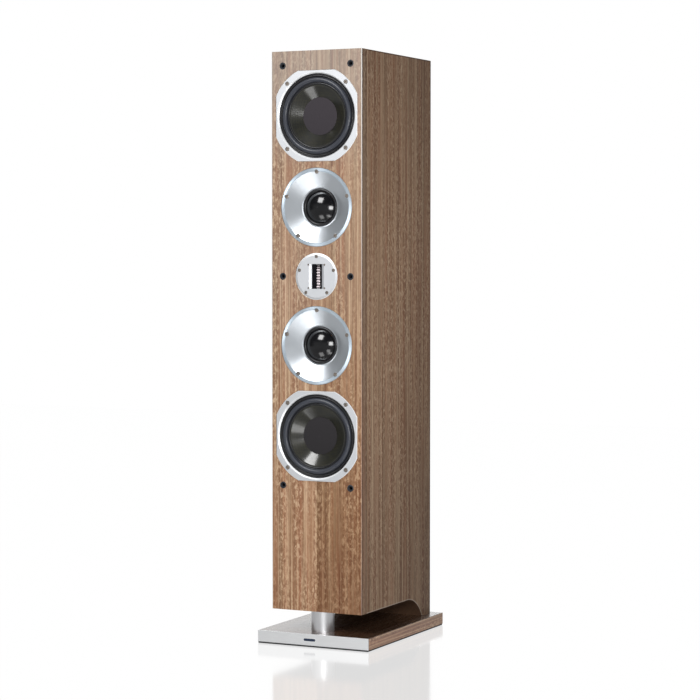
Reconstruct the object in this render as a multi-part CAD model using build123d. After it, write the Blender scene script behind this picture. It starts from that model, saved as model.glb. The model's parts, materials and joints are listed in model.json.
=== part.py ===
"""Floorstanding loudspeaker: two bass units, two dome midranges and a ribbon tweeter in a
transmission-line cabinet that stands on a plinth.

Frame: millimetres, +Z up, origin at the centre of the plinth's underside, front face towards -Y,
+X to the right of someone facing the front. Each node is written to parts/NODE.step.

Drivers are modelled in their own frame, with local +Z out of the baffle's front face, local +Y up,
and z = 0 on that face. Terminal parts use a frame with local +Z out of the back panel.
"""

import math
import os

from build123d import *

# ---------------------------------------------------------------- driving dimensions
CABINET_W, CABINET_D, CABINET_H = 216.0, 358.0, 1206.0
PLINTH_W, PLINTH_D, PLINTH_T = 266.0, 394.0, 25.0
BASE_PLATE_T, BASE_PLATE_INSET = 3.0, 1.0
FRONT_OVERHANG = 20.5  # how far the plinth stands out in front of the cabinet
GAP = 46.0  # from the plinth's top to the cabinet's underside
BAFFLE_T, PANEL_T = 25.0, 18.0
EDGE_CHAMFER = 1.5

TWEETER_DROP = 483.0  # from the cabinet's top to the tweeter's centre
MID_OFFSET, WOOFER_OFFSET = 148.25, 343.5  # from the tweeter's centre, up and down
SOCKET_X, SOCKET_OFFSET = 81.0, 452.0  # grille sockets, from the tweeter's centre
SOCKET_BORE_R, SOCKET_BODY_R, SOCKET_RIM_R = 3.4, 6.0, 7.5
PROUD = 0.5  # how far the driver plates stand out of the baffle
RECESS_GAP = 0.4  # around each plate in its recess

WOOFER_PLATE_D, WOOFER_FLATS, WOOFER_PLATE_T = 212.6, 194.0, 5.0
WOOFER_SCREW_R, WOOFER_APERTURE_R, WOOFER_CUTOUT_R = 98.75, 90.5, 93.0
CONE_R, DUST_CAP_R, WOOFER_COIL_R = 68.0, 40.4, 37.4

MID_PLATE_R, MID_PLATE_T, MID_SCREW_R = 84.5, 5.0, 75.75
MID_RIM_R, MID_THROAT_R, MID_THROAT_DEPTH, MID_CUTOUT_R = 77.6, 40.8, 18.0, 70.0
DOME_R, DOME_H = 33.6, 14.0

TWEETER_PLATE_R, TWEETER_PLATE_T, TWEETER_SCREW_R = 50.0, 5.0, 42.9
TWEETER_CUTOUT_R = 38.5
SLOT_W, SLOT_H = 24.6, 53.4
SLOT_BEVEL_W, SLOT_BEVEL_H = 5.4, 2.6
RIBBON_W, RIBBON_DEPTH, RIBBON_PITCH, RIBBON_PLEATS = 8.0, 10.0, 6.0, 8

PILLAR_R, PILLAR_SETBACK = 25.0, 30.0
FOOT_ARC_R, FOOT_ARC_START = 90.0, 234.0  # start is measured back from the cabinet's front
SPIKE_X, SPIKE_Y, SPIKE_THREAD_R = 108.0, 172.0, 3.4

BADGE_W, BADGE_H, BADGE_T, BADGE_X = 28.0, 5.5, 0.8, -7.0

TERMINAL_H_ABOVE_BOTTOM = 116.0
FLANGE_W, FLANGE_H, FLANGE_T = 112.0, 92.0, 3.0
CUP_W, CUP_H, CUP_DEPTH, CUP_WALL = 88.0, 68.0, 20.0, 3.0
POST_X = 19.0  # the two binding posts stand this far either side of the centre
POST_COLLAR_R, POST_COLLAR_T, WASHER_T, KNOB_R, KNOB_L = 8.0, 4.0, 1.5, 8.6, 17.0
STUD_R, STUD_CLEARANCE, BANANA_R, BANANA_DEPTH = 3.5, 0.08, 2.0, 16.0
LEAD_R, LEAD_BEND_R = 2.0, 12.0
GLUE_GAP = 0.1

# ---------------------------------------------------------------- places worked out from them
RIBBON_L = RIBBON_PITCH * RIBBON_PLEATS
PLINTH_BOTTOM = BASE_PLATE_T
PLINTH_TOP = PLINTH_BOTTOM + PLINTH_T
CABINET_BOTTOM = PLINTH_TOP + GAP
CABINET_TOP = CABINET_BOTTOM + CABINET_H
FRONT_Y = -PLINTH_D / 2 + FRONT_OVERHANG
BACK_Y = FRONT_Y + CABINET_D
INNER_X = CABINET_W / 2 - PANEL_T
BAFFLE_BACK_Y = FRONT_Y + BAFFLE_T
BACK_PANEL_Y = BACK_Y - PANEL_T
TWEETER_Z = CABINET_TOP - TWEETER_DROP
WOOFERS = {"upper": TWEETER_Z + WOOFER_OFFSET, "lower": TWEETER_Z - WOOFER_OFFSET}
MIDS = {"upper": TWEETER_Z + MID_OFFSET, "lower": TWEETER_Z - MID_OFFSET}
PARTITION_FRONT_Y, PARTITION_TOP = -58.0, CABINET_TOP - 150.0
PARTITION_BACK_Y = PARTITION_FRONT_Y + PANEL_T
TERMINAL_Z = CABINET_BOTTOM + TERMINAL_H_ABOVE_BOTTOM
PILLAR_Y = FRONT_Y + PILLAR_SETBACK
FOOT_START_Y = FRONT_Y + FOOT_ARC_START
FOOT_TOE_Y = FOOT_START_Y + math.sqrt(FOOT_ARC_R**2 - (FOOT_ARC_R - GAP) ** 2)

MADE = {}


# ---------------------------------------------------------------- helpers
def keep(name, *solids):
    """Stores the separate solids of one node."""
    flat = [solid for shape in solids for solid in shape.solids()]
    MADE[name] = Compound(children=flat) if len(flat) > 1 else flat[0]


def block(x0, x1, y0, y1, z0, z1):
    """A box between two corners."""
    centre = ((x0 + x1) / 2, (y0 + y1) / 2, (z0 + z1) / 2)
    return Pos(*centre) * Box(x1 - x0, y1 - y0, z1 - z0)


def turned(*outline):
    """A solid of revolution about local Z from (radius, height) corners."""
    return turned_lines([Polyline(*outline, close=True)])


def turned_lines(lines):
    """A solid of revolution about local Z from connected lines drawn in (radius, height)."""
    return revolve(Plane.XZ * make_face(lines), Axis.Z)


def rod(radius, z0, z1, x=0.0, y=0.0):
    """A round bar along local Z."""
    return Pos(x, y, (z0 + z1) / 2) * Cylinder(radius, z1 - z0)


def tube(inner, outer, z0, z1, x=0.0, y=0.0):
    """A round tube along local Z."""
    return rod(outer, z0, z1, x, y) - rod(inner, z0 - 1, z1 + 1, x, y)


def on_circle(radius, count, start_deg):
    """Points evenly spaced on a circle, as (x, y)."""
    angles = [math.radians(start_deg + 360 * i / count) for i in range(count)]
    return [(radius * math.cos(a), radius * math.sin(a)) for a in angles]


def front(z):
    """From a driver's frame to the object's, for a driver centred at height z."""
    return Pos(0, FRONT_Y, z) * Rot(90, 0, 0)


def rear(x, z):
    """From a terminal's frame to the object's; local +Z points backwards."""
    return Pos(x, BACK_Y, z) * Rot(-90, 0, 0)


def socket_screw(head_r, head_h, shank_r, length, hex_r):
    """A cap screw with its head's top at z = 0, driven by a hexagon socket."""
    head = rod(head_r, -head_h, 0)
    head = chamfer(head.edges().group_by(Axis.Z)[-1], head_h * 0.12)
    shank = turned((0, -head_h), (shank_r, -head_h), (shank_r, -length + shank_r), (0, -length))
    hexagon = extrude(RegularPolygon(hex_r, 6), -head_h * 0.6)
    return head + shank - hexagon


# ---------------------------------------------------------------- cabinet
def woofer_outline(grow=0.0):
    """The bass unit's plate seen from the front: a disc cut by four flats."""
    flats = WOOFER_FLATS + 2 * grow
    return Circle(WOOFER_PLATE_D / 2 + grow) & Rectangle(flats, flats)


def driver_openings():
    """Everything that the drivers and grille sockets take out of the baffle."""
    through = -BAFFLE_T - 1
    cuts = []
    for z in WOOFERS.values():
        depth = WOOFER_PLATE_T - PROUD
        recess = extrude(Pos(0, 0, -depth) * woofer_outline(RECESS_GAP), depth + 1)
        cuts.append(front(z) * (recess + rod(WOOFER_CUTOUT_R, through, 1)))
        for x, y in on_circle(WOOFER_SCREW_R, 4, 45):
            cuts.append(front(z) * rod(2.5, through, 0, x, y))
    for z in MIDS.values():
        depth = MID_PLATE_T - PROUD
        cuts.append(front(z) * rod(MID_PLATE_R + RECESS_GAP, -depth, 1))
        cuts.append(front(z) * rod(MID_CUTOUT_R, through, 1))
        for x, y in on_circle(MID_SCREW_R, 5, 90):
            cuts.append(front(z) * rod(1.75, through + 5, 0, x, y))
    depth = TWEETER_PLATE_T - PROUD
    cuts.append(front(TWEETER_Z) * rod(TWEETER_PLATE_R + RECESS_GAP, -depth, 1))
    cuts.append(front(TWEETER_Z) * rod(TWEETER_CUTOUT_R, through, 1))
    for x, y in on_circle(TWEETER_SCREW_R, 5, 90):
        cuts.append(front(TWEETER_Z) * rod(1.75, through + 5, 0, x, y))
    for x, z in socket_places():
        cuts.append(front(z) * rod(SOCKET_BODY_R + 0.1, through, 1, x))
        cuts.append(front(z) * rod(SOCKET_RIM_R + 0.1, -1.5, 1, x))
    return cuts


def socket_places():
    """Centres of the six grille sockets, as (x, z) in the object's frame."""
    heights = (TWEETER_Z + SOCKET_OFFSET, TWEETER_Z, TWEETER_Z - SOCKET_OFFSET)
    return [(side * SOCKET_X, z) for z in heights for side in (-1, 1)]


def side_outline():
    """The side panel in (y, z): straight on top, with a leg at the back that sweeps down."""
    top, bottom = CABINET_TOP, CABINET_BOTTOM
    arc_centre_z = bottom - FOOT_ARC_R
    middle = math.radians(90 - 0.5 * math.degrees(math.acos((FOOT_ARC_R - GAP) / FOOT_ARC_R)))
    arc_middle = (
        FOOT_START_Y + FOOT_ARC_R * math.cos(middle),
        arc_centre_z + FOOT_ARC_R * math.sin(middle),
    )
    sweep = ThreePointArc((FOOT_START_Y, bottom), arc_middle, (FOOT_TOE_Y, PLINTH_TOP))
    rest = Polyline(
        (FOOT_TOE_Y, PLINTH_TOP),
        (BACK_Y, PLINTH_TOP),
        (BACK_Y, top),
        (BAFFLE_BACK_Y, top),
        (BAFFLE_BACK_Y, bottom),
        (FOOT_START_Y, bottom),
    )
    return make_face([sweep, rest])


def cabinet():
    baffle = block(-CABINET_W / 2, CABINET_W / 2, FRONT_Y, BAFFLE_BACK_Y, CABINET_BOTTOM, CABINET_TOP)
    upright = baffle.edges().filter_by(Axis.Z).group_by(Axis.Y)[0]
    baffle = chamfer(upright, EDGE_CHAMFER)
    for cut in driver_openings():
        baffle -= cut
    keep("front_baffle", baffle)

    side = extrude(Plane.YZ * side_outline(), PANEL_T)
    keep("side_panel_right", Pos(INNER_X, 0, 0) * side)
    keep("side_panel_left", Pos(-CABINET_W / 2, 0, 0) * side)
    inside = (-INNER_X, INNER_X, BAFFLE_BACK_Y, BACK_PANEL_Y)
    keep("top_panel", block(-INNER_X, INNER_X, BAFFLE_BACK_Y, BACK_Y, CABINET_TOP - PANEL_T, CABINET_TOP))

    vent = block(-70, 70, PARTITION_BACK_Y + 6, FOOT_START_Y - 16, 0, CABINET_BOTTOM + 50)
    bottom = block(*inside[:3], FOOT_START_Y, CABINET_BOTTOM, CABINET_BOTTOM + PANEL_T)
    keep("bottom_panel", bottom - vent)

    foot = extrude(Plane.YZ * side_outline(), INNER_X, both=True)
    foot &= block(-INNER_X, INNER_X, FOOT_START_Y, BACK_PANEL_Y, 0, CABINET_BOTTOM + PANEL_T)
    for x, y in foot_bolt_places():
        foot -= rod(4.0, 0, PLINTH_TOP + 40, x, y)
    keep("rear_foot", foot)

    back = block(-INNER_X, INNER_X, BACK_PANEL_Y, BACK_Y, PLINTH_TOP, CABINET_TOP - PANEL_T)
    terminal_hole = Box(CUP_W + 1, CUP_H + 1, 2 * PANEL_T + 2)
    back -= rear(0, TERMINAL_Z) * terminal_hole
    for x, y in terminal_screw_places():
        back -= rear(0, TERMINAL_Z) * rod(1.75, -PANEL_T + 2, 1, x, y)
    keep("back_panel", back)


def bracing():
    """The folded line's partition and three window braces behind it."""
    partition = block(
        -INNER_X, INNER_X, PARTITION_FRONT_Y, PARTITION_BACK_Y, CABINET_BOTTOM + PANEL_T, PARTITION_TOP
    )
    braces = []
    for z in brace_heights():
        brace = block(-INNER_X, INNER_X, PARTITION_BACK_Y, BACK_PANEL_Y, z, z + PANEL_T)
        for x in (-1, 1):
            window = Pos(x * 43, (PARTITION_BACK_Y + BACK_PANEL_Y) / 2, z + PANEL_T / 2)
            brace -= window * Box(62, 120, 2 * PANEL_T)
        braces.append(brace)
    for x, z in lead_places().values():
        partition -= Pos(x, PARTITION_FRONT_Y, z) * Rot(90, 0, 0) * Cylinder(LEAD_R + 0.5, 3 * PANEL_T)
    keep("line_partition", partition)
    keep("window_braces", *braces)

    levels = [CABINET_BOTTOM + 230, *brace_heights(), CABINET_TOP - PANEL_T]
    pads = []
    for low, high in zip(levels, levels[1:]):
        start = low + (PANEL_T if low in brace_heights() else 0) + 2
        pads.append(block(-INNER_X + 2, INNER_X - 2, BACK_PANEL_Y - 26, BACK_PANEL_Y - 1, start, high - 2))
    keep("damping_foam", *pads)


def brace_heights():
    return [CABINET_BOTTOM + 370 + 270 * i for i in range(3)]


def foot_bolt_places():
    """Bolts that come up through the plinth into the rear foot, as (x, y)."""
    y = (FOOT_TOE_Y + BACK_PANEL_Y) / 2 + 2
    return [(-55, y), (55, y)]


def plinth_bolt_places():
    return [(0, PILLAR_Y), *foot_bolt_places()]


def plinth():
    half_w, half_d = PLINTH_W / 2, PLINTH_D / 2
    strip_t = 3.0
    board = block(-half_w, half_w, -half_d + strip_t, half_d, PLINTH_BOTTOM, PLINTH_TOP)
    board = chamfer(board.edges().filter_by(Axis.Y).group_by(Axis.Z)[-1], 0.8)
    base = block(
        -half_w + BASE_PLATE_INSET,
        half_w - BASE_PLATE_INSET,
        -half_d + BASE_PLATE_INSET,
        half_d - BASE_PLATE_INSET,
        0,
        BASE_PLATE_T,
    )
    for x, y in plinth_bolt_places():
        board -= rod(4.3, 0, PLINTH_TOP + 1, x, y) + rod(7.2, 0, PLINTH_BOTTOM + 9, x, y)
        base -= rod(7.6, -1, BASE_PLATE_T + 1, x, y)
    inserts = []
    for x in (-SPIKE_X, SPIKE_X):
        for y in (-SPIKE_Y, SPIKE_Y):
            board -= rod(5.5, 0, PLINTH_BOTTOM + 16, x, y)
            base -= rod(5.5, -1, BASE_PLATE_T + 1, x, y)
            inserts.append(tube(SPIKE_THREAD_R, 5.5, 0, PLINTH_BOTTOM + 16, x, y))
    keep("plinth_board", board)
    keep("plinth_base_plate", base)
    keep("spike_inserts", *inserts)

    strip = block(-half_w, half_w, -half_d, -half_d + strip_t, PLINTH_BOTTOM, PLINTH_TOP)
    strip = chamfer(strip.edges().group_by(Axis.Y)[0], 0.9)
    badge_centre = (BADGE_X, -half_d, (PLINTH_BOTTOM + PLINTH_TOP) / 2)
    badge_plane = Plane(badge_centre, x_dir=(1, 0, 0), z_dir=(0, 1, 0))
    badge = extrude(badge_plane * SlotOverall(BADGE_W, BADGE_H), BADGE_T)
    keep("plinth_front_strip", strip - badge)
    keep("plinth_badge", badge)

    pillar = rod(PILLAR_R, PLINTH_TOP, CABINET_BOTTOM, 0, PILLAR_Y)
    pillar -= rod(4.0, PLINTH_TOP - 1, PLINTH_TOP + 32, 0, PILLAR_Y)
    keep("front_pillar", pillar)

    bolts = []
    for x, y in plinth_bolt_places():
        bolt = socket_screw(6.5, 8.0, 3.9, 50.0, 3.4)
        bolts.append(Pos(x, y, PLINTH_BOTTOM + 1.0) * Rot(180, 0, 0) * bolt)
    keep("plinth_bolts", *bolts)


def grille_sockets():
    """Plastic cups that take the grille's pegs."""
    cup = turned(
        (SOCKET_BORE_R, -16),
        (SOCKET_BODY_R, -16),
        (SOCKET_BODY_R, -1.4),
        (SOCKET_RIM_R, -1.4),
        (SOCKET_RIM_R, -0.1),
        (SOCKET_RIM_R - 0.6, 0.3),
        (SOCKET_BORE_R + 1.6, 0.3),
        (SOCKET_BORE_R, -2.2),
    )
    cup += rod(SOCKET_BODY_R, -17.5, -16)
    keep("grille_sockets", *[front(z) * Pos(x, 0, 0) * cup for x, z in socket_places()])


# ---------------------------------------------------------------- bass units
SURROUND_LEDGE_Z, ROLL_BASE_Z, ROLL_HEIGHT = -4.2, -3.2, 5.2
ROLL_INNER_R, ROLL_OUTER_R, RUBBER_T = 71.2, 82.0, 1.0
CONE_RIM_Z, CONE_NECK_Z, CONE_T = -4.4, -20.5, 0.8
SPIDER_Z, WOOFER_MOTOR_Z = -34.0, -52.0


def woofer_chassis():
    """Cast frame: front plate, ledge for the surround, windowed basket and motor seat."""
    plate_back = PROUD - WOOFER_PLATE_T
    plate = extrude(Pos(0, 0, plate_back) * woofer_outline(), WOOFER_PLATE_T)
    plate = chamfer(plate.edges().group_by(Axis.Z)[-1], 0.8)
    bevel = turned((0, -1.6), (WOOFER_APERTURE_R, -1.6), (WOOFER_APERTURE_R + 3.2, 1), (0, 1))
    plate -= rod(WOOFER_APERTURE_R, -20, 5) + bevel
    basket = turned(
        (84.0, plate_back),
        (84.0, SURROUND_LEDGE_Z - 0.2),
        (92.0, SURROUND_LEDGE_Z - 0.2),
        (92.0, -9.0),
        (71.0, SPIDER_Z - 3),
        (63.0, WOOFER_MOTOR_Z - 3),
        (42.0, WOOFER_MOTOR_Z - 3),
        (42.0, WOOFER_MOTOR_Z),
        (59.0, WOOFER_MOTOR_Z),
        (64.0, SPIDER_Z - 3),
        (60.5, SPIDER_Z - 3),
        (60.5, SPIDER_Z),
        (67.5, SPIDER_Z),
        (84.0, -9.0),
    )
    windows = []
    for angle in range(0, 360, 60):
        slot = Rot(0, 0, angle) * Pos(78, 0, -21) * Box(40, 58, 15)
        windows.append(slot)
    ledge = tube(84.0, 92.0, plate_back - 2.5, plate_back)
    for slot in windows:
        basket -= slot
    frame = plate + basket + ledge
    for x, y in on_circle(WOOFER_SCREW_R, 4, 45):
        frame -= rod(2.8, -10, 5, x, y) + rod(5.0, PROUD - 3.6, 5, x, y)
    return frame


def surround_lines(inner, outer, base, height, thickness):
    """Upper and lower edge of a half-roll in (radius, height), as two arcs."""
    middle = (inner + outer) / 2
    upper = ThreePointArc((inner, base), (middle, base + height), (outer, base))
    lower = ThreePointArc(
        (outer - thickness, base),
        (middle, base + height - thickness),
        (inner + thickness, base),
    )
    return upper, lower


def woofer_surround():
    """Rubber half-roll with a ridged outer ring and a rounded inner lip glued over the cone's rim."""
    upper, lower = surround_lines(ROLL_INNER_R, ROLL_OUTER_R, ROLL_BASE_Z, ROLL_HEIGHT, RUBBER_T)
    ring_r = WOOFER_APERTURE_R - GLUE_GAP
    seat = ROLL_BASE_Z - RUBBER_T
    outside = Polyline(
        (ROLL_OUTER_R, ROLL_BASE_Z),
        (ROLL_OUTER_R + 1.0, ROLL_BASE_Z),
        (ROLL_OUTER_R + 1.8, ROLL_BASE_Z + 1.4),
        (ROLL_OUTER_R + 2.6, ROLL_BASE_Z + 1.8),
        (ROLL_OUTER_R + 4.2, ROLL_BASE_Z + 1.8),
        (ROLL_OUTER_R + 5.0, ROLL_BASE_Z + 1.4),
        (ROLL_OUTER_R + 5.7, ROLL_BASE_Z + 0.2),
        (ring_r - 0.4, ROLL_BASE_Z + 0.2),
        (ring_r, ROLL_BASE_Z - 0.2),
        (ring_r, seat),
        (ROLL_OUTER_R - RUBBER_T, seat),
        (ROLL_OUTER_R - RUBBER_T, ROLL_BASE_Z),
    )
    inside = Polyline(
        (ROLL_INNER_R + RUBBER_T, ROLL_BASE_Z),
        (ROLL_INNER_R + RUBBER_T, seat),
        (CONE_R - 1.6, seat),
        (CONE_R - 1.6, seat + 0.5),
        (CONE_R - 0.4, seat + 1.3),
        (ROLL_INNER_R - 1.4, seat + 1.5),
        (ROLL_INNER_R - 0.5, ROLL_BASE_Z),
        (ROLL_INNER_R, ROLL_BASE_Z),
    )
    return turned_lines([upper, outside, lower, inside])


def woofer_cone():
    """Shallow straight cone with a flat rim under the surround's lip."""
    rim, neck = CONE_RIM_Z + 0.2 - GLUE_GAP, CONE_NECK_Z
    coil_outer = WOOFER_COIL_R + 0.3
    return turned(
        (CONE_R, rim),
        (CONE_R - 4.0, rim),
        (coil_outer, neck),
        (coil_outer, neck - CONE_T - 0.6),
        (CONE_R - 4.0, rim - CONE_T),
        (CONE_R, rim - CONE_T),
    )


def woofer_dust_cap():
    slope = (CONE_RIM_Z - CONE_NECK_Z) / (CONE_R - 4.0 - WOOFER_COIL_R - 0.3)
    base = CONE_NECK_Z + (DUST_CAP_R - WOOFER_COIL_R) * slope + 0.5
    height, thick = 4.6, 0.8
    crown = (DUST_CAP_R**2 + height**2) / (2 * height)
    half = math.asin(DUST_CAP_R / crown) / 2

    def on_dome(radius, angle):
        return (radius * math.sin(angle), base + height - crown + radius * math.cos(angle))

    outer = ThreePointArc(on_dome(crown, 0), on_dome(crown, half), on_dome(crown, 2 * half))
    inner = ThreePointArc(
        on_dome(crown - thick, 2 * half), on_dome(crown - thick, half), on_dome(crown - thick, 0)
    )
    lines = [outer, Line(outer @ 1, inner @ 0), inner, Line(inner @ 1, outer @ 0)]
    return turned_lines(lines)


def woofer_voice_coil():
    """Thin former with its winding, in the magnet's gap."""
    r = WOOFER_COIL_R
    return turned(
        (r, CONE_NECK_Z + 0.3),
        (r + 0.25, CONE_NECK_Z + 0.3),
        (r + 0.25, WOOFER_MOTOR_Z + 1),
        (r + 1.3, WOOFER_MOTOR_Z + 1),
        (r + 1.3, WOOFER_MOTOR_Z - 15),
        (r, WOOFER_MOTOR_Z - 15),
    )


def corrugated_ring(inner, outer, z, waves, height, thickness):
    """A ring of concentric ripples, flat on the inner and outer edges."""
    flat = 2.5
    step = (outer - inner - 2 * flat) / (2 * waves)
    top = [(inner, z)]
    for i in range(2 * waves + 1):
        top.append((inner + flat + i * step, z + (height if i % 2 else 0)))
    top.append((outer, z))
    return turned(*top, *[(r, h - thickness) for r, h in reversed(top)])


def woofer_motor():
    """(magnet, top plate and yoke) behind the basket."""
    seat = WOOFER_MOTOR_Z - 3 - GLUE_GAP
    top_plate = tube(WOOFER_COIL_R + 2.6, 70, seat - 6, seat)
    magnet = tube(45, 71, seat - 27, seat - 6 - GLUE_GAP)
    pole_r, vent_r = WOOFER_COIL_R - 1.2, 11.0
    yoke = turned(
        (vent_r, seat),
        (pole_r, seat),
        (pole_r, seat - 27 - GLUE_GAP),
        (68, seat - 27 - GLUE_GAP),
        (66, seat - 35),
        (vent_r + 4, seat - 35),
        (vent_r, seat - 31),
    )
    return magnet, top_plate, yoke


def bass_units():
    magnets, steel, screws = [], [], []
    for name, z in WOOFERS.items():
        keep(f"woofer_{name}_chassis", front(z) * woofer_chassis())
        keep(f"woofer_{name}_surround", front(z) * woofer_surround())
        keep(f"woofer_{name}_cone", front(z) * woofer_cone())
        keep(f"woofer_{name}_dust_cap", front(z) * woofer_dust_cap())
        keep(f"woofer_{name}_voice_coil", front(z) * woofer_voice_coil())
        spider = corrugated_ring(WOOFER_COIL_R + 0.5, 67.0, SPIDER_Z + 0.7, 5, 1.8, 0.5)
        keep(f"woofer_{name}_spider", front(z) * spider)
        magnet, top_plate, yoke = woofer_motor()
        magnets.append(front(z) * magnet)
        steel += [front(z) * top_plate, front(z) * yoke]
        screw = socket_screw(4.2, 3.0, 2.4, 24.0, 2.3)
        for x, y in on_circle(WOOFER_SCREW_R, 4, 45):
            screws.append(front(z) * Pos(x, y, PROUD - 0.6) * screw)
    keep("woofer_magnets", *magnets)
    keep("woofer_pole_plates", *steel)
    keep("woofer_screws", *screws)


# ---------------------------------------------------------------- dome midranges
MID_SURROUND_Z, MID_MOTOR_Z = -19.0, -24.0


def mid_faceplate():
    """Turned plate: flat rim, a fine step, a straight flare and a narrow lip round the dome."""
    back = PROUD - MID_PLATE_T
    plate = turned(
        (MID_PLATE_R, back),
        (MID_PLATE_R, PROUD - 0.9),
        (MID_PLATE_R - 0.9, PROUD),
        (MID_RIM_R + 0.6, PROUD),
        (MID_RIM_R, PROUD - 0.8),
        (MID_RIM_R - 0.7, PROUD - 0.8),
        (MID_THROAT_R + 2.8, -MID_THROAT_DEPTH + 0.4),
        (MID_THROAT_R + 0.6, -MID_THROAT_DEPTH),
        (MID_THROAT_R, -MID_THROAT_DEPTH - 0.6),
        (MID_THROAT_R, MID_SURROUND_Z + 0.2),
        (44.5, MID_SURROUND_Z + 0.2),
        (44.5, MID_MOTOR_Z + GLUE_GAP),
        (57.0, MID_MOTOR_Z + GLUE_GAP),
        (57.0, -15.0),
        (69.5, -9.0),
        (69.5, back),
    )
    for x, y in on_circle(MID_SCREW_R, 5, 90):
        plate -= rod(2.2, -10, 5, x, y) + rod(4.7, PROUD - 3.4, 5, x, y)
    return plate


def mid_dome():
    """Soft dome, open underneath, with a short skirt over the coil former."""
    base, thick = MID_SURROUND_Z + 0.4, 0.7
    crown = (DOME_R**2 + DOME_H**2) / (2 * DOME_H)
    half = math.asin(DOME_R / crown) / 2

    def on_dome(radius, angle):
        return (radius * math.sin(angle), base + DOME_H - crown + radius * math.cos(angle))

    outer = ThreePointArc(on_dome(crown, 0), on_dome(crown, half), on_dome(crown, 2 * half))
    inner = ThreePointArc(
        on_dome(crown - thick, 2 * half), on_dome(crown - thick, half), on_dome(crown - thick, 0)
    )
    lines = [outer, Line(outer @ 1, inner @ 0), inner, Line(inner @ 1, outer @ 0)]
    return turned_lines(lines)


def mid_surround():
    """Half-roll from the dome's edge to the flat ring clamped behind the faceplate."""
    z, thick = MID_SURROUND_Z, 0.6
    inner, outer = DOME_R + 0.4, MID_THROAT_R - 0.4
    upper, lower = surround_lines(inner, outer, z, 2.6, thick)
    outside = Polyline(
        (outer, z), (44.2, z), (44.2, z - thick), (outer - thick, z - thick), (outer - thick, z)
    )
    inside = Polyline(
        (inner + thick, z), (inner + thick, z - thick), (inner, z - thick), (inner, z)
    )
    return turned_lines([upper, outside, lower, inside])


def mid_voice_coil():
    r = DOME_R - 0.8
    top = MID_SURROUND_Z - GLUE_GAP
    return turned(
        (r, top),
        (r + 0.25, top),
        (r + 0.25, MID_MOTOR_Z + 0.5),
        (r + 1.0, MID_MOTOR_Z + 0.5),
        (r + 1.0, MID_MOTOR_Z - 6),
        (r, MID_MOTOR_Z - 6),
    )


def mid_motor():
    """(magnet, top plate, yoke, rear cup) behind the faceplate."""
    seat, coil_r = MID_MOTOR_Z, DOME_R - 0.8
    top_plate = tube(coil_r + 1.8, 57, seat - 5, seat)
    magnet = tube(39, 58, seat - 23, seat - 5 - GLUE_GAP)
    yoke = turned(
        (12, seat),
        (coil_r - 0.9, seat),
        (coil_r - 0.9, seat - 23 - GLUE_GAP),
        (56, seat - 23 - GLUE_GAP),
        (55, seat - 29),
        (12, seat - 29),
    )
    cup_top = seat - 29 - GLUE_GAP
    cup = rod(50, cup_top - 32, cup_top) - rod(47, cup_top - 29, cup_top + 1)
    return magnet, top_plate, yoke, cup


def midranges():
    magnets, steel, cups = [], [], []
    for name, z in MIDS.items():
        keep(f"mid_{name}_faceplate", front(z) * mid_faceplate())
        keep(f"mid_{name}_dome", front(z) * mid_dome())
        keep(f"mid_{name}_surround", front(z) * mid_surround())
        keep(f"mid_{name}_voice_coil", front(z) * mid_voice_coil())
        magnet, top_plate, yoke, cup = mid_motor()
        magnets.append(front(z) * magnet)
        steel += [front(z) * top_plate, front(z) * yoke]
        cups.append(front(z) * cup)
    keep("mid_magnets", *magnets)
    keep("mid_pole_plates", *steel)
    keep("mid_rear_cups", *cups)


# ---------------------------------------------------------------- ribbon tweeter
def tweeter_faceplate():
    plate = turned(
        (0, PROUD - TWEETER_PLATE_T),
        (TWEETER_PLATE_R, PROUD - TWEETER_PLATE_T),
        (TWEETER_PLATE_R, PROUD - 1.2),
        (TWEETER_PLATE_R - 4.6, PROUD),
        (0, PROUD),
    )
    slot_half, bevel_half = SLOT_W / 2, SLOT_W / 2 + SLOT_BEVEL_W
    flare = Polyline(
        (-slot_half, -20),
        (-slot_half, PROUD - SLOT_BEVEL_H),
        (-bevel_half, PROUD),
        (-bevel_half, 5),
        (bevel_half, 5),
        (bevel_half, PROUD),
        (slot_half, PROUD - SLOT_BEVEL_H),
        (slot_half, -20),
        close=True,
    )
    plate -= extrude(Plane.XZ * make_face(flare), SLOT_H / 2, both=True)
    for x, y in on_circle(TWEETER_SCREW_R, 5, 90):
        plate -= rod(2.2, -10, 5, x, y) + rod(3.9, PROUD - 3.1, 5, x, y)
    for x, y in tweeter_clamp_places():
        plate -= rod(1.3, -10, 5, x, y) + rod(2.2, PROUD - 2.0, 5, x, y)
    return plate


def tweeter_clamp_places():
    """Four small screws that hold the ribbon unit to its plate."""
    return [(x, y) for x in (-19.2, 19.2) for y in (-25.1, 25.1)]


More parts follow.
